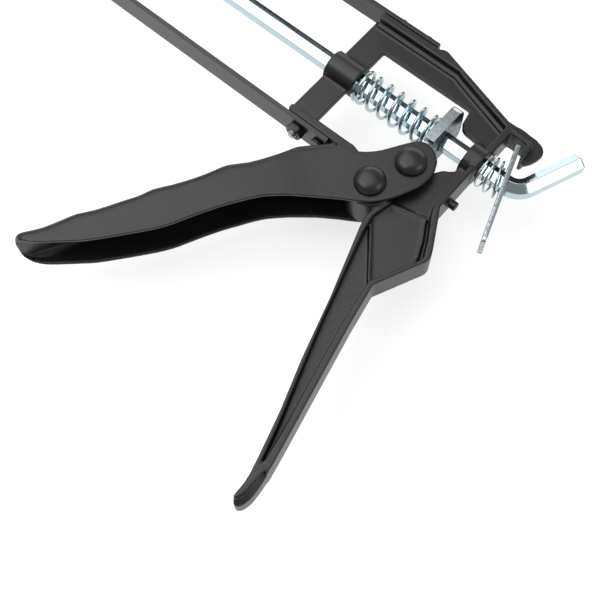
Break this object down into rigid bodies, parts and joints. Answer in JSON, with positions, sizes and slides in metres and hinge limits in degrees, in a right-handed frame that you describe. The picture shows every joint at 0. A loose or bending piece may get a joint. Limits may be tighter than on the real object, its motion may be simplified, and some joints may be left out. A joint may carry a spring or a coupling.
{
  "type": "caulking gun",
  "caption": "Skeleton caulking gun: cast frame and handle, pressed trigger, twin flat straps, hex push rod with bent tail, drive plate, release lever and springs.",
  "frame": {"origin": "centre of the bounding box's base, the gun lying on its right side", "axes": "+X towards the bent tail of the push rod, along the rod; +Y towards the upper strap, the gun's top; +Z towards the gun's left side, upwards as it lies"},
  "size_m": [0.3422, 0.1968, 0.052],
  "materials": {
    "black_paint": "satin powder coat with fine grain",
    "zinc_plate": "bright bluish zinc plating",
    "grey_steel": "dull grey steel"
  },
  "bodies": {
    "frame": {"body_casting": "black_paint", "upper_strap": "black_paint", "lower_strap": "black_paint", "front_plate": "black_paint", "front_rivet_upper": "black_paint", "front_rivet_lower": "black_paint", "upper_pin_1": "black_paint", "upper_pin_2": "black_paint", "lower_stud": "grey_steel", "lower_nut": "black_paint", "lower_rivet": "black_paint", "main_spring": "zinc_plate", "release_spring": "zinc_plate"},
    "trigger": {"trigger": "black_paint", "pivot_rivet": "black_paint", "drive_rivet": "black_paint", "drive_roller": "grey_steel"},
    "drive": {"drive_plate": "zinc_plate"},
    "rod": {"push_rod": "zinc_plate", "pusher_disc": "zinc_plate", "pusher_washer": "grey_steel", "rod_nut": "grey_steel"},
    "lever": {"release_lever": "zinc_plate"}
  },
  "joints": [
    {"name": "trigger_pivot", "type": "hinge", "parent": "frame", "child": "trigger", "pos_m": [0.1139, 0.02525, 0.026], "axis": [0, 0, 1], "range_deg": [0, 30], "stiffness_Nm_per_rad": 0.54, "springref_deg": -17.19},
    {"name": "drive_slide", "type": "slide", "parent": "frame", "child": "drive", "axis": [-1, 0, 0], "range_m": [0, 0.0095], "deforming": ["main_spring"]},
    {"name": "rod_slide", "type": "slide", "parent": "frame", "child": "rod", "axis": [1, 0, 0], "range_m": [0, 0.2]},
    {"name": "lever_pivot", "type": "hinge", "parent": "frame", "child": "lever", "pos_m": [0.1465, 0.07655, 0.026], "axis": [0, 0, -1], "range_deg": [0, 15], "stiffness_Nm_per_rad": 0.06, "springref_deg": -17.19, "deforming": ["release_spring"]}
  ],
  "couplings": [
    {"joint": "drive_slide", "follows": "trigger_pivot", "m_per_rad": 0.0174}
  ]
}
